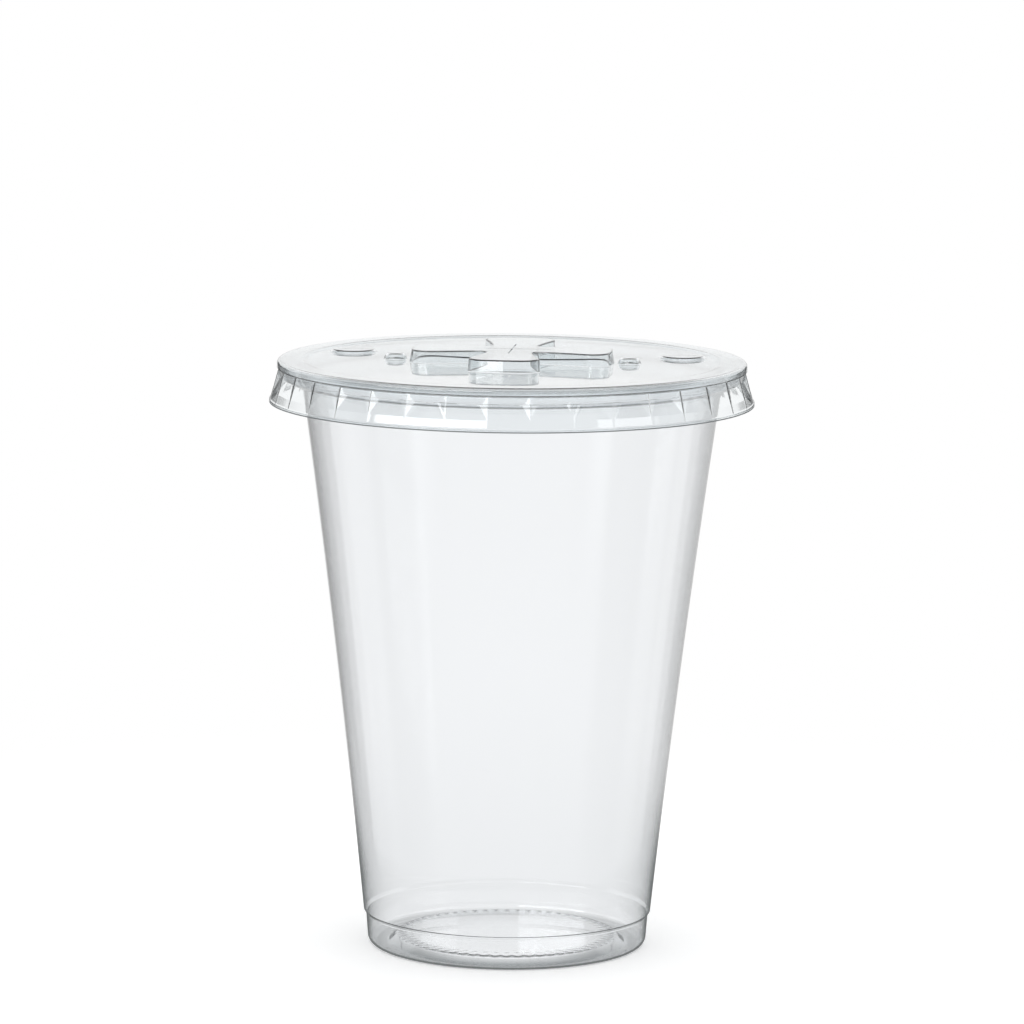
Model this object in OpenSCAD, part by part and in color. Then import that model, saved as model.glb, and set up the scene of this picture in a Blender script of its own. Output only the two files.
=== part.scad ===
// Clear thermoformed cold-drink cup with a press-on flat lid.
// The cup stands on z = 0 with its axis on Z, and the lid sits on its rolled rim.

/* [Cup] */
// Height of the cup, from the table to the top of its rolled rim
cup_h = 122.7; // [110:0.1:140]
// Outer radius of the wall where it meets the rolled rim
wall_top_r = 43.9; // [42:0.1:46]
// Outer radius of the wall just above the foot step
wall_base_r = 30.1; // [29.8:0.1:33]
// How far the middle of the wall lies inside a straight taper
wall_bow = 0.54; // [0:0.02:1]
// Thickness of the cup's sheet
wall_t = 0.35; // [0.25:0.01:0.5]
// Radius of the rolled rim's round section
curl_r = 2.05; // [1.6:0.05:2.4]
// How far the roll turns back under itself, past its lowest point
curl_turn = 40; // [10:5:60]

/* [Foot] */
// Height of the narrow foot band, up to the step that keeps stacked cups apart
foot_h = 7.2; // [5:0.1:12]
// Height of the sloped step itself
step_h = 1.2; // [0.6:0.1:2]
// Outer radius of the foot band under the step
band_top_r = 29.6; // [29.3:0.1:29.7]
// Outer radius of the foot band above the heel
foot_r = 29.1; // [28.5:0.1:29.2]
// Radius of the rounded heel
heel_r = 1.8; // [1:0.1:2.5]
// Width of the flat ring that the cup stands on
ring_w = 2.6; // [1.5:0.1:3.5]
// Height that the base plate is pushed up by
push_up = 1.6; // [1:0.1:3]
// Outer radius of the raised base plate
plate_r = 22.8; // [20:0.1:23]

/* [Knurl] */
// Number of short grip ribs round the edge of the raised base plate
knurl_n = 60; // [36:1:72]
// Radial length of a grip rib
knurl_l = 1.7; // [1:0.1:2.5]
// Width of a grip rib
knurl_w = 1.1; // [0.6:0.1:1.4]
// Height of a grip rib under the plate
knurl_h = 0.6; // [0.3:0.1:0.8]

/* [Lid] */
// Thickness of the lid's sheet
lid_t = 0.3; // [0.2:0.01:0.4]
// Gap between the top of the rolled rim and the lid's panel
seat_gap = 0.2; // [0.1:0.05:0.5]
// Radial gap between the rolled rim and the narrowest place of the skirt
rim_gap = 0.3; // [0.2:0.05:0.6]
// Depth of the waist under the lid's edge band
waist_in = 0.55; // [0.3:0.05:0.8]
// How far the waist lies under the edge band, as a share of the flutes' height
waist_at = 0.36; // [0.25:0.01:0.5]
// Width of the ledge under the edge band
ledge_in = 0.4; // [0.2:0.05:0.5]
// Height of the ledge's slope
ledge_h = 0.2; // [0.1:0.05:0.3]
// Height of the smooth band at the lid's edge
edge_band_h = 1.7; // [1.2:0.1:2.2]
// Radius of the lid's top edge
edge_r = 0.5; // [0.3:0.05:0.8]
// Height of the lid from its edge to the bottom of the skirt
skirt_h = 8.8; // [8:0.1:11]
// How far the skirt flares out past the edge band
skirt_flare = 1.35; // [0.8:0.05:2]
// How far the lip at the bottom of the skirt turns out
lip_out = 0.25; // [0.1:0.05:0.5]
// Height of the lip
lip_h = 0.55; // [0.4:0.05:0.8]
// Angle of the lid on the cup, seen from above
lid_turn = -5.6; // [-45:0.2:45]

/* [Flutes] */
// Number of flutes round the skirt
flute_n = 36; // [24:1:40]
// Angle between a flute's flank and the skirt's surface
flute_flank = 20; // [15:1:26]
// Height of a flute, down from the edge band
flute_h = 4.6; // [3.5:0.1:5]
// How far a flute's crest runs out over its height
flute_run = 0.86; // [0.5:0.02:1.2]

/* [Lid panel] */
// Radius of the recessed panel inside the lid's edge
panel_r = 43.2; // [42:0.1:43.4]
// Depth of the panel under the edge
panel_depth = 0.3; // [0.2:0.1:0.5]
// Width of the panel's sloped edge
panel_slope = 0.5; // [0.4:0.1:1]

/* [Raised cross] */
// Height of the cross over the panel
cross_h = 2.6; // [1.5:0.1:3.5]
// Length of an arm, from the lid's centre to its end
arm_l = 21.4; // [18:0.1:23]
// Width of an arm at its end
arm_end_w = 15.4; // [12:0.1:18]
// Width of an arm at the lid's centre
arm_waist_w = 8; // [6:0.1:11]
// How late an arm widens: 1 is a straight flare
arm_flare = 1.5; // [1:0.1:2.5]
// Radius of an arm's corners
arm_corner_r = 3.6; // [2:0.1:5]
// Width of the cross's top as a share of its foot
cross_draft = 0.93; // [0.88:0.01:0.97]

/* [Straw slot] */
// Length of each of the two crossing cuts
slot_l = 16; // [10:0.5:20]
// Width of the cuts
slot_w = 0.3; // [0.2:0.05:0.5]

/* [Buttons] */
// Radius of a plain round button on the panel
button_r = 5; // [3:0.1:5.4]
// Height of a button
button_h = 0.6; // [0.4:0.1:1]
// Width of a button's sloped edge
button_slope = 0.6; // [0.3:0.1:1]
// Distance of a button's centre from the lid's centre
button_at = 36.4; // [34:0.1:36.8]
// Angle of each button from the far arm
button_step = 72; // [40:1:90]

/* [Studs] */
// Radius of the small stud past the end of each side arm
stud_r = 2.4; // [1.5:0.1:3]
// Height of a stud
stud_h = 1.3; // [0.8:0.1:2]
// Width of a stud's sloped edge
stud_slope = 0.4; // [0.2:0.1:0.8]
// Distance of a stud's centre from the lid's centre
stud_at = 24.4; // [24:0.1:27]

/* [Hidden] */
$fn = 96;
WALL_STEPS = 10;
ARC_STEPS = 6;
CURL_STEPS = 16;
ARM_STEPS = 6;
CORNER_TURN = 75;
CUT = 1;
HIDE = 0.03;
BUTTONS = [-1, 1];
ARMS = [0, 90, 180, 270];
STUDS = [0, 180];
CUP_COLOUR = [0.93, 0.95, 0.96, 0.35];
LID_COLOUR = [0.88, 0.91, 0.92, 0.45];

// The cup's heights and radii that follow from its sizes
curl_z = cup_h - curl_r;
curl_at = wall_top_r + curl_r - wall_t;
rim_r = curl_at + curl_r;
heel_at = foot_r - heel_r;
ring_in = heel_at - ring_w;
plate_bend = wall_t * tan(atan2(push_up, ring_in - plate_r) / 2);

// The lid's heights and radii, which follow the rim
lid_z = cup_h + seat_gap + lid_t;
waist_r = rim_r + rim_gap + lid_t;
edge_band_r = waist_r + waist_in;
skirt_z = lid_z - skirt_h;
skirt_r = edge_band_r + skirt_flare;
flute_z = lid_z - edge_band_h;
flute_end_z = flute_z - flute_h;
flute_end_r = edge_band_r + flute_run;
waist_z = flute_z - flute_h * waist_at;
ledge_lift = lid_t * tan((90 - atan2(ledge_h, ledge_in)) / 2);
lip_z = skirt_z + lip_h;
panel_z = lid_z - panel_depth;
panel_bend = lid_t * tan(atan2(panel_depth, panel_slope) / 2);

// A point at an angle on a circle round (x, y)
function on_circle(x, y, r, a) = [x + r * cos(a), y + r * sin(a)];

// The points of an arc from angle a to angle b
function arc(x, y, r, a, b, steps) = [for (i = [0:steps]) on_circle(x, y, r, a + (b - a) * i / steps)];

// The wall's radius at a share u of its height: a straight taper, less the bow
function wall_r(u) = wall_base_r + (wall_top_r - wall_base_r) * u - 4 * wall_bow * u * (1 - u);

// The wall's line from the step up to the rim, moved in by an amount
function wall_line(inset) = [
    for (i = [0:WALL_STEPS])
        let (u = i / WALL_STEPS)
        [wall_r(u) - inset, foot_h + (curl_z - foot_h) * u]
];

function backwards(points) = [for (i = [len(points) - 1:-1:0]) points[i]];

// The cup's section: up its outside, round the roll and back down its inside
function cup_section() = concat(
    [[0, push_up], [plate_r, push_up], [ring_in, 0]],
    arc(heel_at, heel_r, heel_r, -90, 0, ARC_STEPS),
    [[band_top_r, foot_h - step_h]],
    wall_line(0),
    arc(curl_at, curl_z, curl_r - wall_t, 180, -90 - curl_turn, CURL_STEPS),
    arc(curl_at, curl_z, curl_r, -90 - curl_turn, 180, CURL_STEPS),
    backwards(wall_line(wall_t)),
    [[band_top_r - wall_t, foot_h - step_h]],
    arc(heel_at, heel_r, heel_r - wall_t, 0, -90, ARC_STEPS),
    [[ring_in + plate_bend, wall_t], [plate_r + plate_bend, push_up + wall_t], [0, push_up + wall_t]]
);

module knurl() {
    for (i = [0:knurl_n - 1])
        rotate([0, 0, i * 360 / knurl_n])
            translate([plate_r - knurl_l, -knurl_w / 2, push_up - knurl_h])
                cube([knurl_l, knurl_w, knurl_h + wall_t / 2]);
}

module cup() {
    color(CUP_COLOUR) {
        rotate_extrude() polygon(cup_section());
        knurl();
    }
}

// The filled form under the lid's surface, or under its inside when moved in by the sheet's thickness
module lid_body(inset) {
    low = inset > 0 ? skirt_z - CUT : skirt_z;
    bend = inset > 0 ? panel_bend : 0;
    lift = inset > 0 ? ledge_lift : 0;
    edge = max(edge_r - inset, 0.1);
    section = concat(
        [[0, low], [0, panel_z - inset]],
        [[panel_r - panel_slope + bend, panel_z - inset], [panel_r + bend, lid_z - inset]],
        arc(edge_band_r - inset - edge, lid_z - inset - edge, edge, 90, 0, ARC_STEPS),
        [[edge_band_r - inset, flute_z + lift]],
        [[edge_band_r - ledge_in - inset, flute_z - ledge_h + lift]],
        [[waist_r - inset, waist_z]],
        [[flute_end_r - inset, flute_end_z]],
        [[skirt_r - inset, lip_z + lip_out]],
        [[skirt_r + lip_out - inset, lip_z]],
        [[skirt_r + lip_out - inset, low]]
    );
    rotate_extrude() polygon(section);
}

// V-shaped ridges under the edge band that run out into the flare. A crest starts just inside the band
// and ends just outside the corner of the flare, so that it fades out a little under that corner.
module flutes(inset) {
    tilt = atan2(flute_run + 2 * HIDE, flute_h);
    depth = waist_in + flute_run + lid_t;
    half = depth / tan(flute_flank);
    for (i = [0:flute_n - 1])
        rotate([0, 0, i * 360 / flute_n])
            translate([edge_band_r - HIDE - inset, 0, flute_z])
                rotate([0, -tilt, 0])
                    translate([0, 0, -flute_h - CUT])
                        linear_extrude(height = flute_h + 2 * CUT)
                            polygon([[0, 0], [-depth, half], [-depth, -half]]);
}

// One arm of the cross: narrow at the centre, flared at its end, with round corners
function arm_points(inset) =
    let (end = arm_end_w / 2 - inset)
    let (waist = arm_waist_w / 2 - inset)
    let (r = arm_corner_r)
    let (reach = arm_l - inset - r)
    let (side = [
        for (i = [0:ARM_STEPS])
            let (u = i / ARM_STEPS)
            [reach * u, waist + (end - waist) * pow(u, arm_flare)]
    ])
    concat(
        side,
        arc(reach, end - r, r, CORNER_TURN, 0, ARC_STEPS),
        arc(reach, r - end, r, 0, -CORNER_TURN, ARC_STEPS),
        [for (p = backwards(side)) [p[0], -p[1]]]
    );

module cross(inset) {
    foot = inset > 0 ? CUT : lid_t / 2;
    translate([0, 0, panel_z - inset - foot])
        linear_extrude(height = cross_h + foot, scale = cross_draft)
            union() for (a = ARMS) rotate(a) polygon(arm_points(inset));
}

module slot() {
    for (a = [0, 90])
        rotate([0, 0, a])
            translate([-slot_l / 2, -slot_w / 2, panel_z])
                cube([slot_l, slot_w, cross_h + CUT]);
}

// A round form that stands up from the panel, at a distance and an angle from the lid's centre
module raised_round(at, angle, r, h, slope, inset) {
    foot_r = r - (inset > 0 ? lid_t * tan(atan2(h, slope) / 2) : 0);
    rotate([0, 0, angle])
        translate([at, 0, panel_z - inset - lid_t / 2])
            cylinder(h = h + lid_t / 2, r1 = foot_r, r2 = foot_r - slope);
}

module buttons(inset) {
    for (k = BUTTONS)
        raised_round(button_at, 90 + k * button_step, button_r, button_h, button_slope, inset);
}

module studs(inset) {
    for (a = STUDS)
        raised_round(stud_at, a, stud_r, stud_h, stud_slope, inset);
}

module lid_form(inset) {
    lid_body(inset);
    flutes(inset);
    cross(inset);
    buttons(inset);
    studs(inset);
}

module lid() {
    color(LID_COLOUR)
        rotate([0, 0, lid_turn])
            difference() {
                lid_form(0);
                lid_form(lid_t);
                slot();
            }
}

cup();
lid();
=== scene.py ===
# A clear thermoformed drinking cup with its press-on flat lid, photographed against white.
# Sizes are in millimetres and angles in degrees, and the meshes are made in metres.
import math

import bpy
import numpy as np
from mathutils import Matrix, Vector
from mathutils.geometry import delaunay_2d_cdt


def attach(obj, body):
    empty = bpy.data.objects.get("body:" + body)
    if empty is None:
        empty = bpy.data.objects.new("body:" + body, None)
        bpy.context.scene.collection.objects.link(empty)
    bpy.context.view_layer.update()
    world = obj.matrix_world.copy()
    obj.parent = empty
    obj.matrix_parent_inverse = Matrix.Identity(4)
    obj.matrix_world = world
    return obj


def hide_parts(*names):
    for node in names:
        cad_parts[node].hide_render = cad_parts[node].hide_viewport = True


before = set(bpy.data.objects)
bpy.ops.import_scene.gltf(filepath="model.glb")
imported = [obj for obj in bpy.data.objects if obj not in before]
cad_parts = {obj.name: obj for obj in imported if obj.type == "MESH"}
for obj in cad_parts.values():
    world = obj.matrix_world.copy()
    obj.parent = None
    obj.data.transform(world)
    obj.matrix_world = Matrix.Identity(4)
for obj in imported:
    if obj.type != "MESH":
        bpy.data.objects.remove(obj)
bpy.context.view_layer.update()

MM = 0.001
QUARTERS = (0, 90, 180, 270)

# Cup: wall and rolled rim
CUP_H = 122.7
CUP_SHEET = 0.35
WALL_TOP_R = 43.9
WALL_BASE_R = 30.1
WALL_BOW = 0.54
CURL_R = 2.05
CURL_TURN = 40

# Cup: step over the foot, foot and base plate
FOOT_H = 7.2
STEP_H = 0.7
STEP_FOOT_R = 0.25
STEP_TOP_R = 0.3
BAND_TOP_R = 29.6
FOOT_R = 29.1
HEEL_R = 1.8
RING_W = 2.6
RING_FILLET_R = 1.0
PUSH_UP = 1.6
PLATE_R = 22.8
PLATE_FILLET_R = 1.3

# Grip ribs under the edge of the base plate. The plate's flat runs on past them by a small gap.
# One power squares the ribs' ends and the other narrows their crests.
KNURL_N = 60
KNURL_L = 1.7
KNURL_H = 0.32
KNURL_GAP = 0.1
KNURL_END_POWER = 0.6
KNURL_CREST_POWER = 1.4

# Lid: edge, skirt and lip. The lowest part of the lip is where the die has torn the sheet, and it is painted
# dark grey there as painted shade.
LID_SHEET = 0.3
LID_TURN = -5.6
SEAT_GAP = 0.2
RIM_GAP = 0.3
EDGE_R = 0.8
EDGE_BAND_H = 1.7
LEDGE_IN = 0.4
LEDGE_H = 0.2
LEDGE_FILLET_R = 0.1
WAIST_IN = 0.55
WAIST_AT = 0.36
WAIST_FILLET_R = 0.4
FLARE_OUT = 0.86
FLARE_FILLET_R = 0.8
SKIRT_H = 8.8
SKIRT_FLARE = 1.35
LIP_OUT = 0.25
LIP_H = 0.55
LIP_FOOT_R = 0.2
LIP_EDGE_R = 0.12
TORN_AND_SHADED_H = 0.22

# Flutes round the skirt. A flute's crest starts inside the edge band and fades in below it.
FLUTE_N = 36
FLUTE_H = 4.6
FLUTE_TOP_IN = 0.3
FLUTE_RUN = 0.92
FLUTE_FLANK = 20
FLUTE_CREST_R = 0.1
FLUTE_BLEND = 0.07
FLUTE_FADE_H = 0.3

# Recessed panel
PANEL_R = 43.8
PANEL_DEPTH = 0.3
PANEL_SLOPE = 1.4
PANEL_FILLET_R = 1.0

# Raised cross. An arm's side is a curve between two shares of the arm's length, its end is slightly
# bulged, and the crotch is the corner between two arms.
CROSS_H = 2.6
CROSS_DRAFT = 0.021
CROSS_FOOT_R = 0.25
CROSS_TOP_R = 0.4
ARM_L = 21.4
ARM_END_W = 15.4
ARM_WAIST_W = 8
ARM_FLARE = 1.5
ARM_SIDE_FROM = 0.42
ARM_SIDE_TO = 0.94
ARM_CORNER_R = 3.6
ARM_BULGE = 0.8
ARM_END_BEND_R = 30
CROTCH_OUT = 0.55
CROTCH_R = 1.5
SLOT_L = 16
SLOT_W = 0.3

# Buttons and studs on the panel
BUTTON_R = 5
BUTTON_H = 0.6
BUTTON_SLOPE = 0.6
BUTTON_FOOT_R = 0.25
BUTTON_TOP_R = 0.45
BUTTON_AT = 36.4
BUTTON_STEP = 72
STUD_R = 2.4
STUD_H = 1.3
STUD_SLOPE = 0.4
STUD_FOOT_R = 0.25
STUD_TOP_R = 0.9
STUD_AT = 24.4

# Fineness of the meshes: numbers of points and rings, and the longest steps between points
CUP_SEGMENTS = 420
WALL_RINGS = 16
CURL_RINGS = 20
CUP_STEP = 0.9
KNURL_LEAD = 0.5
PLATE_MIDDLE_R = 2.0
FLUTE_POINTS = (0.1, 0.25, 0.5, 0.9, 1.5, 2.3, 3.2)
SKIRT_STEP = 0.5
PANEL_JOIN = 0.45
ARM_SIDE_POINTS = 8
CROSS_STEP = 0.7
CROSS_FOOT_JOIN = 0.28
CROSS_TOP_JOIN = 1.2
ROUND_SEGMENTS = 72
ROUND_FOOT_JOIN = 0.9
ROUND_TOP_JOIN = 1.2
SHARP_FROM = 50

# Heights and radii that follow from the sizes
CURL_Z = CUP_H - CURL_R
CURL_AT = WALL_TOP_R + CURL_R - CUP_SHEET
LID_Z = CUP_H + SEAT_GAP + LID_SHEET
WAIST_R = CURL_AT + CURL_R + RIM_GAP + LID_SHEET
BAND_R = WAIST_R + WAIST_IN
SKIRT_Z = LID_Z - SKIRT_H
SKIRT_R = BAND_R + SKIRT_FLARE
FLUTE_Z = LID_Z - EDGE_BAND_H
FLUTE_END_Z = FLUTE_Z - FLUTE_H
PANEL_Z = LID_Z - PANEL_DEPTH
CROSS_Z = PANEL_Z + CROSS_H

# Clear plastic: the scale that draws its ripple out along the wall, and the grain of its haze and of
# its torn edge
PET_IOR = 1.575
DRAW_STRETCH = 0.12
HAZE_GRAIN = 1.6
TORN_GRAIN = 0.3
TORN_DEPTH = 0.03

# Photograph's camera, fitted to the object's outline
CAMERA_AT = (0.254, -1227.69, 270.13)
CAMERA_PITCH = 8.29
CAMERA_ROLL = 0.557
CAMERA_LENS = 209.34
SENSOR_W = 36

# White paper under the cup, and the radii between which it fades out
FLOOR_R = 260
FLOOR_SEGMENTS = 96
FLOOR_FADE = (110, 250)
PAPER_GRAIN = 0.8
PAPER_DEPTH = 0.05
# Paper's own share of light, from the light table under it
FLOOR_GLOW = 0.26
# Brightness of the paper under the ring that the cup stands on, seen through the plastic. The shade
# grows between the first two radii and fades between the others.
RING_LEVEL = 0.42
RING_GROW = (13, 25)
RING_FADE = (28.5, 34)
# How much of that shade reaches round to the back: the light behind the cup throws it forward.
# It falls from the front place to the back one.
BACK_SHARE = 0.4
SHADE_FRONT_Y = -12
SHADE_BACK_Y = 20
# Brightness of the paper near the cup as the plastic mirrors it, and the radii between which it ends
SHADE_LEVEL = 0.2
SHADE_FADE = (60, 190)

# Brightness of the upper room as strong bends of the plastic show it, and the heights above the
# horizon between which the white backdrop turns into it
BENT_LEVEL = 0.1
BENT_RISE = (16, 36)

# What the studio shows to a reflection, as heights above the horizon and brightness there: white
# table, greyer table farther off, white backdrop, dim upper room, overhead bank
STUDIO_LEVELS = [
    (-90, 0.95), (-55, 0.9), (-42, 0.65), (3, 0.65), (6, 1.0), (14, 1.0), (20, 0.12), (58, 0.12), (66, 1.0),
    (90, 1.0),
]

# Flags and softboxes in the studio, each over the ones before it: middle and half width round the
# object, with 0 at the back and 90 on the right, then lowest and highest edge, soft edge, brightness
STUDIO_PANELS = [
    # Wide backdrop behind the object
    (0, 70, 5, 32, 8, 1.0),
    # Grey reflectors beside the light table
    (-30, 14, -60, 2, 4, 0.35),
    (30, 14, -60, 2, 4, 0.55),
    # Paler ones at the ends of the backdrop
    (55, 8, -60, 5, 6, 0.8),
    (-55, 8, -60, 5, 6, 0.55),
    # Low black flags, which draw the dark lines along the wall's sides
    (-31, 17, -6.5, 3, 1.5, 0.05),
    (31, 17, -6.5, 3, 1.5, 0.05),
    # Side walls
    (103, 13, -60, 5, 6, 0.5),
    (-103, 13, -60, 5, 6, 0.5),
    # Bank behind the camera
    (180, 45, 6, 50, 8, 0.7),
    # Two softboxes, left and right of the camera
    (-140, 29, 12, 27, 2, 3.6),
    (120, 16, 19, 26, 2, 2.2),
]

# Light crosses both faces of every sheet, and is thrown about in the rolled rim and the lid's edge
MAX_BOUNCES = 24
GLOSSY_BOUNCES = 12


# Lines and points

def unit(v):
    return v / np.linalg.norm(v)


def rounded(corners, turn=12.0, guard=0.1, closed=False):
    """The line through (x, y, radius) corners, with an arc at each rounded one.

    An arc has a point at least every turn, and one more at the guard distance before and after it."""
    places = [np.array(c[:2], float) for c in corners]
    line = []
    for i, place in enumerate(places):
        radius = corners[i][2]
        if radius == 0:
            line.append(place)
            continue
        a = unit(places[i - 1] - place)
        b = unit(places[(i + 1) % len(places)] - place)
        half = math.acos(max(-1.0, min(1.0, float(a @ b)))) / 2
        reach = radius / math.tan(half)
        centre = place + unit(a + b) * radius / math.sin(half)
        start, end = place + a * reach - centre, place + b * reach - centre
        sweep = math.atan2(start[0] * end[1] - start[1] * end[0], float(start @ end))
        steps = max(2, math.ceil(abs(math.degrees(sweep)) / turn))
        if guard:
            line.append(place + a * (reach + guard))
        for k in range(steps + 1):
            c, s = math.cos(sweep * k / steps), math.sin(sweep * k / steps)
            line.append(centre + np.array([start[0] * c - start[1] * s, start[0] * s + start[1] * c]))
        if guard:
            line.append(place + b * (reach + guard))
    if closed:
        line.append(line[0])
    return line


def divided(line, step):
    """The same line with a point at least every step along it."""
    dense = [line[0]]
    for a, b in zip(line, line[1:]):
        parts = max(1, math.ceil(np.linalg.norm(b - a) / step))
        dense.extend(a + (b - a) * k / parts for k in range(1, parts + 1))
    return dense


def inside(point, loop):
    """Whether a point lies inside a closed loop, by how often a line from it crosses the loop."""
    x, y = point
    a, b = loop, np.roll(loop, -1, axis=0)
    crosses = (a[:, 1] > y) != (b[:, 1] > y)
    with np.errstate(divide="ignore", invalid="ignore"):
        at = a[:, 0] + (y - a[:, 1]) / (b[:, 1] - a[:, 1]) * (b[:, 0] - a[:, 0])
    return bool(np.count_nonzero(crosses & (at > x)) % 2)


def circle(radius, z, n, x=0.0, y=0.0):
    """n points on a level circle round (x, y)."""
    turns = np.arange(n) * 2 * math.pi / n
    return np.stack([x + radius * np.cos(turns), y + radius * np.sin(turns), np.full(n, z)], 1)


def turned(points, degrees):
    """The same points, turned about the vertical axis."""
    a = math.radians(degrees)
    points = np.array(points, float)
    x, y = points[:, 0].copy(), points[:, 1].copy()
    points[:, 0], points[:, 1] = x * math.cos(a) - y * math.sin(a), x * math.sin(a) + y * math.cos(a)
    return points


class Sheet:
    """One side of a formed plastic sheet, built ring by ring from its middle outwards."""

    def __init__(self):
        self.points = []
        self.faces = []

    def ring(self, points):
        """A closed ring of points. The indices of its points are returned."""
        first = len(self.points)
        self.points.extend(tuple(float(x) * MM for x in p) for p in points)
        return list(range(first, len(self.points)))

    def band(self, inner, outer):
        """The faces between two rings of as many points."""
        n = len(inner)
        for i in range(n):
            j = (i + 1) % n
            self.faces.append((inner[i], outer[i], outer[j], inner[j]))

    def rings(self, rings, outwards=True):
        """Rings joined one to the next. The first and the last are returned."""
        made = [self.ring(r) for r in rings]
        for a, b in zip(made, made[1:]):
            self.band(*((a, b) if outwards else (b, a)))
        return made[0], made[-1]

    def fill(self, outer, holes=()):
        """The flat area inside one ring and outside others, all at one height."""
        loops = [outer, *holes]
        index = [i for loop in loops for i in loop]
        flat = [Vector(self.points[i][:2]) for i in index]
        edges, first = [], 0
        for loop in loops:
            n = len(loop)
            edges.extend((first + k, first + (k + 1) % n) for k in range(n))
            first += n
        _, _, triangles, origin, _, _ = delaunay_2d_cdt(flat, edges, [], 0, 1e-9)
        shapes = [np.array([self.points[i][:2] for i in loop]) for loop in loops]
        for t in triangles:
            corners = [index[origin[k][0]] for k in t]
            middle = np.mean([self.points[i][:2] for i in corners], axis=0)
            if inside(middle, shapes[0]) and not any(inside(middle, s) for s in shapes[1:]):
                self.faces.append(corners)

    def piece(self, name, thickness, flip=False):
        """The closed shell of the sheet, which has its thickness on the far side of the points given.

        Its cut edges have the second material slot."""
        mesh = bpy.data.meshes.new(name)
        faces = [f[::-1] for f in self.faces] if flip else self.faces
        mesh.from_pydata(self.points, [], faces)
        obj = bpy.data.objects.new(name, mesh)
        bpy.context.scene.collection.objects.link(obj)
        solid = obj.modifiers.new("sheet", "SOLIDIFY")
        solid.thickness = thickness * MM
        solid.offset = -1
        solid.use_even_offset = True
        solid.use_quality_normals = True
        solid.material_offset_rim = 1
        shell = bpy.data.meshes.new_from_object(obj.evaluated_get(bpy.context.evaluated_depsgraph_get()))
        obj.modifiers.clear()
        obj.data = shell
        shell.name = name
        bpy.data.meshes.remove(mesh)
        shell.shade_smooth()
        shell.set_sharp_from_angle(angle=math.radians(SHARP_FROM))
        return obj


# Cup

def wall_line():
    """The outside of the cup's wall: a straight taper with a slight inward bow."""
    line = []
    for i in range(WALL_RINGS + 1):
        u = i / WALL_RINGS
        r = WALL_BASE_R + (WALL_TOP_R - WALL_BASE_R) * u - 4 * WALL_BOW * u * (1 - u)
        line.append((r, FOOT_H + (CURL_Z - FOOT_H) * u))
    return line


def cup_line():
    """The outside of the cup, from the middle of its base to the hidden edge of the roll."""
    wall = wall_line()
    foot = rounded([
        (PLATE_MIDDLE_R, PUSH_UP, 0),
        (PLATE_R - KNURL_L - KNURL_LEAD, PUSH_UP, 0),
        (PLATE_R + KNURL_GAP, PUSH_UP, PLATE_FILLET_R),
        (FOOT_R - HEEL_R - RING_W, 0, RING_FILLET_R),
        (FOOT_R, 0, HEEL_R),
        (BAND_TOP_R, FOOT_H - STEP_H, STEP_FOOT_R),
        (WALL_BASE_R, FOOT_H, STEP_TOP_R),
        (*wall[1], 0),
    ])
    line = divided(foot, CUP_STEP) + [np.array(p) for p in wall[2:]]
    inner = CURL_R - CUP_SHEET
    for i in range(1, CURL_RINGS + 1):
        a = math.radians(180 - (270 + CURL_TURN) * i / CURL_RINGS)
        line.append(np.array([CURL_AT + inner * math.cos(a), CURL_Z + inner * math.sin(a)]))
    return line


def knurl_drop(r, turns):
    """How far the grip ribs stand down at radius r, at each angle."""
    share = (r - (PLATE_R - KNURL_L)) / KNURL_L
    if not 0 < share < 1:
        return np.zeros_like(turns)
    rise = math.sin(math.pi * share) ** KNURL_END_POWER
    return KNURL_H * rise * (0.5 + 0.5 * np.cos(KNURL_N * turns)) ** KNURL_CREST_POWER


def make_cup():
    """The cup: its section turned round the axis, with the grip ribs under the base plate."""
    sheet = Sheet()
    turns = np.arange(CUP_SEGMENTS) * 2 * math.pi / CUP_SEGMENTS
    rings = []
    for r, z in cup_line():
        ring = circle(r, z, CUP_SEGMENTS)
        ring[:, 2] -= knurl_drop(r, turns)
        rings.append(ring)
    first, _ = sheet.rings(rings)
    middle = sheet.ring([(0, 0, PUSH_UP)])[0]
    for i, a in enumerate(first):
        sheet.faces.append((middle, a, first[(i + 1) % len(first)]))
    return sheet.piece("clear_cup", CUP_SHEET, flip=True)


# Lid

def flute_turns():
    """The angles of the skirt's points, and how far each point lies from the crest of its flute."""
    pitch = 360 / FLUTE_N
    steps = [math.degrees(s / BAND_R) for s in FLUTE_POINTS]
    one = [-s for s in reversed(steps)] + [0.0] + steps + [pitch / 2]
    turns = np.array([i * pitch + s for i in range(FLUTE_N) for s in one])
    offset = np.tile(np.abs(np.radians(one)) * BAND_R, FLUTE_N)
    return turns, offset


def fluted(r, z, offset):
    """The skirt's radius at each angle: the smooth form, or the flute's ridge where that is outside it."""
    if z >= FLUTE_Z:
        return np.full_like(offset, r)
    crest = BAND_R - FLUTE_TOP_IN + (FLUTE_RUN + FLUTE_TOP_IN) * (FLUTE_Z - z) / FLUTE_H
    soft = np.sqrt(offset**2 + FLUTE_CREST_R**2) - FLUTE_CREST_R
    ridge = crest - math.tan(math.radians(FLUTE_FLANK)) * soft
    blend = FLUTE_BLEND * min(1.0, (FLUTE_Z - z) / FLUTE_FADE_H)
    return (r + ridge + np.sqrt((r - ridge) ** 2 + blend**2)) / 2


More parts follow.
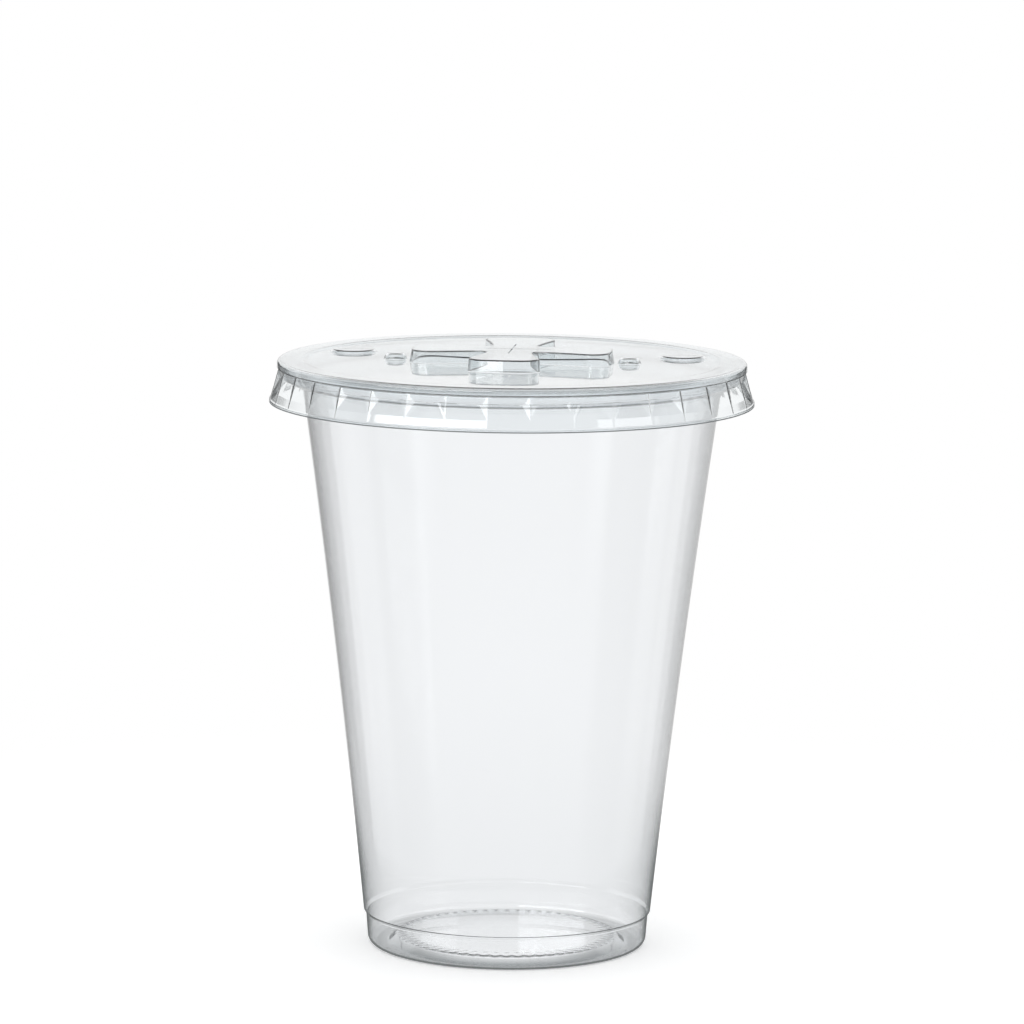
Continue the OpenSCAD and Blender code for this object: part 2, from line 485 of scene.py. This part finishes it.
def skirt_line():
    """The outside of the lid, from its panel over the edge and down to the lip."""
    slope_in = PANEL_R - PANEL_SLOPE
    lip_z = SKIRT_Z + LIP_H
    lip_r = SKIRT_R + LIP_OUT
    top = rounded([
        (slope_in - PANEL_JOIN, PANEL_Z, 0),
        (slope_in, PANEL_Z, PANEL_FILLET_R),
        (PANEL_R, LID_Z, PANEL_FILLET_R),
        (BAND_R, LID_Z, EDGE_R),
        (BAND_R, FLUTE_Z, LEDGE_FILLET_R),
        (BAND_R - LEDGE_IN, FLUTE_Z - LEDGE_H, LEDGE_FILLET_R),
        (WAIST_R, FLUTE_Z - FLUTE_H * WAIST_AT, WAIST_FILLET_R),
        (BAND_R + FLARE_OUT, FLUTE_END_Z, FLARE_FILLET_R),
        (SKIRT_R, lip_z + LIP_OUT, LIP_FOOT_R),
        (lip_r, lip_z, LIP_EDGE_R),
        (lip_r, SKIRT_Z + TORN_AND_SHADED_H, 0),
        (lip_r, SKIRT_Z, 0),
    ], turn=18, guard=0.06)
    line = [top[0]]
    for a, b in zip(top, top[1:]):
        line.extend(divided([a, b], SKIRT_STEP)[1:] if a[1] < LID_Z - EDGE_R else [b])
    return line


def arm_side():
    """One side of an arm, which flares from near the middle of the cross to the arm's corner."""
    reach = ARM_L - ARM_CORNER_R
    side = []
    for u in np.linspace(ARM_SIDE_FROM, ARM_SIDE_TO, ARM_SIDE_POINTS):
        half = ARM_WAIST_W / 2 + (ARM_END_W - ARM_WAIST_W) / 2 * u**ARM_FLARE
        side.append((reach * u, half, 0))
    return side


def cross_outline():
    """The foot of the raised cross, in plan, with round corners in and out."""
    crotch = ARM_WAIST_W / 2 + CROTCH_OUT
    corner = ARM_L - ARM_BULGE
    arm = [
        (crotch, crotch, CROTCH_R),
        *arm_side(),
        (corner, ARM_END_W / 2, ARM_CORNER_R),
        (ARM_L, 0, ARM_END_BEND_R),
        (corner, -ARM_END_W / 2, ARM_CORNER_R),
        *((x, -y, 0) for x, y, _ in reversed(arm_side())),
    ]
    corners = [place for a in QUARTERS for place in turned(arm, -a)]
    line = divided(rounded(corners, guard=0, closed=True), CROSS_STEP)[:-1]
    return np.array(line)[::-1]


def outline_normals(outline):
    """The outward directions of a closed outline at its points."""
    along = np.roll(outline, -1, axis=0) - np.roll(outline, 1, axis=0)
    along /= np.linalg.norm(along, axis=1)[:, None]
    return np.stack([along[:, 1], -along[:, 0]], 1)


def make_cross(sheet):
    """The raised cross. The ring round its foot is returned.

    In its section x runs from 0 at the foot of the wall to 1 at its top, and in millimetres past those."""
    outline = cross_outline()
    normals = outline_normals(outline)
    section = rounded([
        (-CROSS_FOOT_JOIN, PANEL_Z, 0),
        (0, PANEL_Z, CROSS_FOOT_R),
        (1, CROSS_Z, CROSS_TOP_R),
        (1 + CROSS_TOP_JOIN, CROSS_Z, 0),
    ], turn=15, guard=0.03)
    rings = []
    for x, z in section:
        past = min(x, 0) + max(x - 1, 0)
        flat = outline * (1 - CROSS_DRAFT * min(max(x, 0), 1)) - normals * past
        rings.append(turned(np.column_stack([flat, np.full(len(flat), z)]), LID_TURN))
    foot, top = sheet.rings(rings, outwards=False)
    sheet.fill(top, [make_slot(sheet)])
    return foot


def make_slot(sheet):
    """The outline of the two crossing cuts in the top of the cross."""
    end, side = SLOT_L / 2, SLOT_W / 2
    quarter = [(end, -side, CROSS_Z), (end, side, CROSS_Z), (side, side, CROSS_Z)]
    return sheet.ring([place for a in QUARTERS for place in turned(quarter, a + LID_TURN)])


def make_round(sheet, at, turn, radius, height, slope, foot_r, top_r):
    """A round form that stands up from the panel. The ring round its foot is returned."""
    x, y = turned([(at, 0)], turn + LID_TURN)[0]
    section = rounded([
        (radius + foot_r * ROUND_FOOT_JOIN, PANEL_Z, 0),
        (radius, PANEL_Z, foot_r),
        (radius - slope, PANEL_Z + height, top_r),
        (radius - slope - top_r * ROUND_TOP_JOIN, PANEL_Z + height, 0),
    ], turn=15, guard=0.02)
    foot, top = sheet.rings([circle(r, z, ROUND_SEGMENTS, x, y) for r, z in section], outwards=False)
    sheet.fill(top)
    return foot


def make_lid():
    """The lid: fluted skirt, edge and panel, with the cross, the buttons and the studs on it."""
    sheet = Sheet()
    turns, offset = flute_turns()
    a = np.radians(turns + LID_TURN)
    rings = []
    for r, z in skirt_line():
        radius = fluted(r, z, offset)
        rings.append(np.stack([radius * np.cos(a), radius * np.sin(a), np.full(len(a), z)], 1))
    panel, _ = sheet.rings(rings)
    button = (BUTTON_R, BUTTON_H, BUTTON_SLOPE, BUTTON_FOOT_R, BUTTON_TOP_R)
    stud = (STUD_R, STUD_H, STUD_SLOPE, STUD_FOOT_R, STUD_TOP_R)
    forms = [make_cross(sheet)]
    forms += [make_round(sheet, BUTTON_AT, 90 + turn, *button) for turn in (-BUTTON_STEP, BUTTON_STEP)]
    forms += [make_round(sheet, STUD_AT, turn, *stud) for turn in (0, 180)]
    sheet.fill(panel, forms)
    piece = sheet.piece("clear_lid", LID_SHEET)
    # The lip's lowest band takes the second slot: the cut edge's material, with its painted shade
    for face in piece.data.polygons:
        if face.center.z < (SKIRT_Z + TORN_AND_SHADED_H) * MM:
            face.material_index = 1
    return piece


# Shader nodes

def linear(code):
    """A linear colour from an sRGB hex value."""
    parts = [int(code[i : i + 2], 16) / 255 for i in (1, 3, 5)]
    return (*(c / 12.92 if c <= 0.04045 else ((c + 0.055) / 1.055) ** 2.4 for c in parts), 1.0)


def add(tree, kind, settings=(), **links):
    """A node of that kind, with its settings and with values or other nodes' outputs on its inputs."""
    node = tree.nodes.new(kind)
    for key, value in dict(settings).items():
        setattr(node, key, value)
    for key, value in links.items():
        name = key.replace("_", " ")
        socket = node.inputs[int(key[1:])] if key[1:].isdigit() else node.inputs[name]
        if isinstance(value, bpy.types.NodeSocket):
            tree.links.new(value, socket)
        else:
            socket.default_value = value
    return node


def calc(tree, operation, a, b=0.0):
    """A sum on one or two values."""
    return add(tree, "ShaderNodeMath", {"operation": operation}, i0=a, i1=b).outputs[0]


def noise(tree, place, grain, detail=3.0, roughness=0.5):
    """Noise with a grain of that many millimetres."""
    return add(
        tree, "ShaderNodeTexNoise", Vector=place, Scale=1 / (grain * MM), Detail=detail, Roughness=roughness
    ).outputs[0]


def bumped(tree, height, strength, depth):
    """A normal bent by a height field that is depth millimetres deep."""
    return add(tree, "ShaderNodeBump", Height=height, Strength=strength, Distance=depth * MM).outputs[0]


def soft_step(tree, value, full, none):
    """1 at full and 0 at none, with a soft step between them."""
    return add(
        tree, "ShaderNodeMapRange", {"interpolation_type": "SMOOTHSTEP"}, Value=value,
        From_Min=full, From_Max=none, To_Min=1.0, To_Max=0.0,
    ).outputs[0]


def mixed(tree, share, a, b):
    """Shader a, and b by that share."""
    return add(tree, "ShaderNodeMixShader", i0=share, i1=a, i2=b).outputs[0]


def mixed_colour(tree, share, a, b):
    """Colour a, and b by that share."""
    return add(tree, "ShaderNodeMix", {"data_type": "RGBA"}, i0=share, i6=a, i7=b).outputs[2]


# Materials

def new_material(name):
    material = bpy.data.materials.new(name)
    material.use_nodes = True
    material.node_tree.nodes.clear()
    return material, material.node_tree


def thermoformed_pet(name, tint, roughness, draw_mm, ripple_mm):
    """Clear amorphous PET, drawn into a mould: glossy, with faint long draw lines and a fine haze."""
    material, tree = new_material(name)
    place = add(tree, "ShaderNodeTexCoord").outputs["Object"]
    stretched = add(tree, "ShaderNodeMapping", Vector=place, Scale=(1, 1, DRAW_STRETCH)).outputs[0]
    ripple = noise(tree, stretched, draw_mm, detail=2.0, roughness=0.45)
    rough = add(
        tree, "ShaderNodeMapRange", Value=noise(tree, place, HAZE_GRAIN), From_Min=0.3, From_Max=0.7,
        To_Min=roughness * 0.6, To_Max=roughness * 1.4,
    ).outputs[0]
    shader = add(
        tree, "ShaderNodeBsdfPrincipled", Base_Color=linear(tint), Roughness=rough, IOR=PET_IOR,
        Normal=bumped(tree, ripple, 1.0, ripple_mm), Transmission_Weight=1.0,
    )
    add(tree, "ShaderNodeOutputMaterial", Surface=shader.outputs[0])
    return material


def shaded_trimmed_edge(name, tint, roughness):
    """The edge that the trimming die leaves on the sheet: torn and matt, with dark grey painted into its
    colour as painted shade, so it reads as a darker line.
    """
    material, tree = new_material(name)
    place = add(tree, "ShaderNodeTexCoord").outputs["Object"]
    torn = noise(tree, place, TORN_GRAIN)
    rough = add(
        tree, "ShaderNodeMapRange", Value=torn, To_Min=roughness * 0.8, To_Max=roughness * 1.2
    ).outputs[0]
    shader = add(
        tree, "ShaderNodeBsdfPrincipled", Base_Color=linear(tint), Roughness=rough, IOR=PET_IOR,
        Normal=bumped(tree, torn, 0.6, TORN_DEPTH), Transmission_Weight=0.5,
    )
    add(tree, "ShaderNodeOutputMaterial", Surface=shader.outputs[0])
    return material


def lit_paper(tree, place):
    """White paper on a light table, as open air shows it."""
    bump = bumped(tree, noise(tree, place, PAPER_GRAIN, detail=4.0), 0.1, PAPER_DEPTH)
    paper = add(tree, "ShaderNodeBsdfDiffuse", Color=linear("#fbfbfb"), Normal=bump).outputs[0]
    glow = add(tree, "ShaderNodeEmission", Color=linear("#fbfdfe"), Strength=FLOOR_GLOW).outputs[0]
    return add(tree, "ShaderNodeAddShader", i0=paper, i1=glow).outputs[0]


def ring_shade(tree, place, far):
    """How much the paper darkens under the ring that the cup stands on."""
    grown = soft_step(tree, far, RING_GROW[1] * MM, RING_GROW[0] * MM)
    left = soft_step(tree, far, RING_FADE[0] * MM, RING_FADE[1] * MM)
    depth = add(tree, "ShaderNodeSeparateXYZ", Vector=place).outputs["Y"]
    forward = add(
        tree, "ShaderNodeMapRange", Value=depth, From_Min=SHADE_FRONT_Y * MM, From_Max=SHADE_BACK_Y * MM,
        To_Min=1.0, To_Max=BACK_SHARE,
    ).outputs[0]
    return calc(tree, "MULTIPLY", calc(tree, "MULTIPLY", grown, left), forward)


def white_paper():
    """Paper that is white to the camera, shaded under the cup, and dim near the cup in reflections."""
    material, tree = new_material("white_paper")
    place = add(tree, "ShaderNodeTexCoord").outputs["Object"]
    far = add(tree, "ShaderNodeVectorMath", {"operation": "LENGTH"}, i0=place).outputs["Value"]
    path = add(tree, "ShaderNodeLightPath").outputs
    clear = add(tree, "ShaderNodeBsdfTransparent").outputs[0]
    ended = soft_step(tree, far, FLOOR_FADE[1] * MM, FLOOR_FADE[0] * MM)
    open_air = mixed(tree, ended, lit_paper(tree, place), clear)
    dim = add(tree, "ShaderNodeEmission", Color=linear("#f1f5f6"), Strength=RING_LEVEL).outputs[0]
    through = mixed(tree, ring_shade(tree, place, far), clear, dim)
    seen = mixed(tree, path["Is Transmission Ray"], open_air, through)
    shade = add(tree, "ShaderNodeEmission", Color=linear("#f4fafa"), Strength=SHADE_LEVEL).outputs[0]
    mirrored = mixed(tree, soft_step(tree, far, SHADE_FADE[1] * MM, SHADE_FADE[0] * MM), shade, clear)
    reflected = calc(tree, "MINIMUM", path["Glossy Depth"], 1.0)
    add(tree, "ShaderNodeOutputMaterial", Surface=mixed(tree, reflected, seen, mirrored))
    return material


# Studio

def make_camera():
    """The photograph's camera."""
    data = bpy.data.cameras.new("camera")
    data.lens, data.sensor_width = CAMERA_LENS, SENSOR_W
    data.clip_start, data.clip_end = 0.05, 20
    camera = bpy.data.objects.new("camera", data)
    bpy.context.scene.collection.objects.link(camera)
    p, r = math.radians(CAMERA_PITCH), math.radians(CAMERA_ROLL)
    side, up = Vector((1, 0, 0)), Vector((0, math.sin(p), math.cos(p)))
    right = side * math.cos(r) + up * math.sin(r)
    top = up * math.cos(r) - side * math.sin(r)
    turn = Matrix((right, top, right.cross(top))).transposed().to_4x4()
    camera.matrix_world = Matrix.Translation(Vector(CAMERA_AT) * MM) @ turn
    bpy.context.scene.camera = camera


def make_floor():
    """White paper under the cup. It fades out round it, so that it has no edge against the white behind."""
    mesh = bpy.data.meshes.new("floor")
    rim = [tuple(x * MM for x in p) for p in circle(FLOOR_R, 0, FLOOR_SEGMENTS)]
    mesh.from_pydata(rim, [], [tuple(range(FLOOR_SEGMENTS))])
    floor = bpy.data.objects.new("floor", mesh)
    bpy.context.scene.collection.objects.link(floor)
    mesh.materials.append(white_paper())


def edge(tree, angle, full, none):
    """1 at full and 0 at none, both in degrees, with a soft step between them."""
    return soft_step(tree, angle, math.radians(full), math.radians(none))


def studio_levels(tree, lift):
    """The studio's brightness by height alone."""
    share = add(
        tree, "ShaderNodeMapRange", Value=lift, From_Min=-math.pi / 2, From_Max=math.pi / 2
    ).outputs[0]
    levels = add(tree, "ShaderNodeValToRGB", Fac=share)
    stops = levels.color_ramp.elements
    while len(stops) < len(STUDIO_LEVELS):
        stops.new(0.5)
    for stop, (height, level) in zip(stops, STUDIO_LEVELS):
        stop.position = (height + 90) / 180
        stop.color = (level, level, level, 1)
    return levels.outputs[0]


def studio_panel(tree, ray, lift, colour, panel):
    """The studio's colour with one flag or softbox over it."""
    middle, half, low, high, soft, level = panel
    spin = add(
        tree, "ShaderNodeVectorRotate", {"rotation_type": "Z_AXIS"}, Vector=ray, Angle=math.radians(middle)
    ).outputs[0]
    spun = add(tree, "ShaderNodeSeparateXYZ", Vector=spin).outputs
    away = calc(tree, "ABSOLUTE", calc(tree, "ARCTAN2", spun["X"], spun["Y"]))
    across = edge(tree, away, half, half + soft)
    under = edge(tree, lift, high, high + soft)
    over = edge(tree, lift, low, low - soft)
    mask = calc(tree, "MULTIPLY", calc(tree, "MULTIPLY", across, under), over)
    return mixed_colour(tree, mask, colour, (level, level, level, 1))


def make_world():
    """White round everything, and the studio with its flags and softboxes where the plastic mirrors it."""
    world = bpy.data.worlds.new("studio")
    bpy.context.scene.world = world
    # The studio is broad and even, so sampling it on its own would only take time
    world.cycles.sampling_method = "NONE"
    world.use_nodes = True
    tree = world.node_tree
    tree.nodes.clear()
    ray = add(tree, "ShaderNodeTexCoord").outputs["Generated"]
    axes = add(tree, "ShaderNodeSeparateXYZ", Vector=ray).outputs
    lift = calc(tree, "ARCSINE", axes["Z"])
    studio = studio_levels(tree, lift)
    for panel in STUDIO_PANELS:
        studio = studio_panel(tree, ray, lift, studio, panel)
    white = (1, 1, 1, 1)
    path = add(tree, "ShaderNodeLightPath").outputs
    bent = add(
        tree, "ShaderNodeMapRange", Value=edge(tree, lift, *BENT_RISE), To_Min=BENT_LEVEL, To_Max=1.0
    ).outputs[0]
    crossed = calc(tree, "MINIMUM", path["Transmission Depth"], 1.0)
    backdrop = mixed_colour(tree, crossed, white, bent)
    matte = calc(tree, "MINIMUM", path["Diffuse Depth"], 1.0)
    lit = mixed_colour(tree, matte, studio, white)
    bounces = calc(tree, "ADD", path["Diffuse Depth"], path["Glossy Depth"])
    bounced = calc(tree, "MINIMUM", bounces, 1.0)
    colour = mixed_colour(tree, bounced, backdrop, lit)
    light = add(tree, "ShaderNodeBackground", Color=colour, Strength=1.0).outputs[0]
    add(tree, "ShaderNodeOutputWorld", Surface=light)


def set_render():
    scene = bpy.context.scene
    scene.view_settings.view_transform = "Standard"
    scene.cycles.max_bounces = MAX_BOUNCES
    scene.cycles.transmission_bounces = MAX_BOUNCES
    scene.cycles.glossy_bounces = GLOSSY_BOUNCES


make_camera()
make_floor()
make_world()
set_render()

cup = make_cup()
lid = make_lid()
cup.data.materials.append(thermoformed_pet("drawn_clear_pet", "#fcfdfe", 0.03, draw_mm=7, ripple_mm=0.0025))
lid.data.materials.append(thermoformed_pet("pressed_clear_pet", "#f5f8f9", 0.03, draw_mm=5, ripple_mm=0.001))
# Dark grey, half-clear plastic for the cut edges and the lip's lowest band: painted shade that draws the dark
# line along them
painted_shade_edge_material = shaded_trimmed_edge("die_trimmed_pet_painted_shade", "#8d9396", 0.5)
for piece, node, body, slot in ((cup, "cup", "cup_body", "cup_sheet"), (lid, "lid", "lid_body", "lid_sheet")):
    piece.data.materials.append(painted_shade_edge_material)
    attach(piece, body)
    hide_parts(node)
    piece.data.update()
    print(piece.name, "triangles", sum(len(p.vertices) - 2 for p in piece.data.polygons))
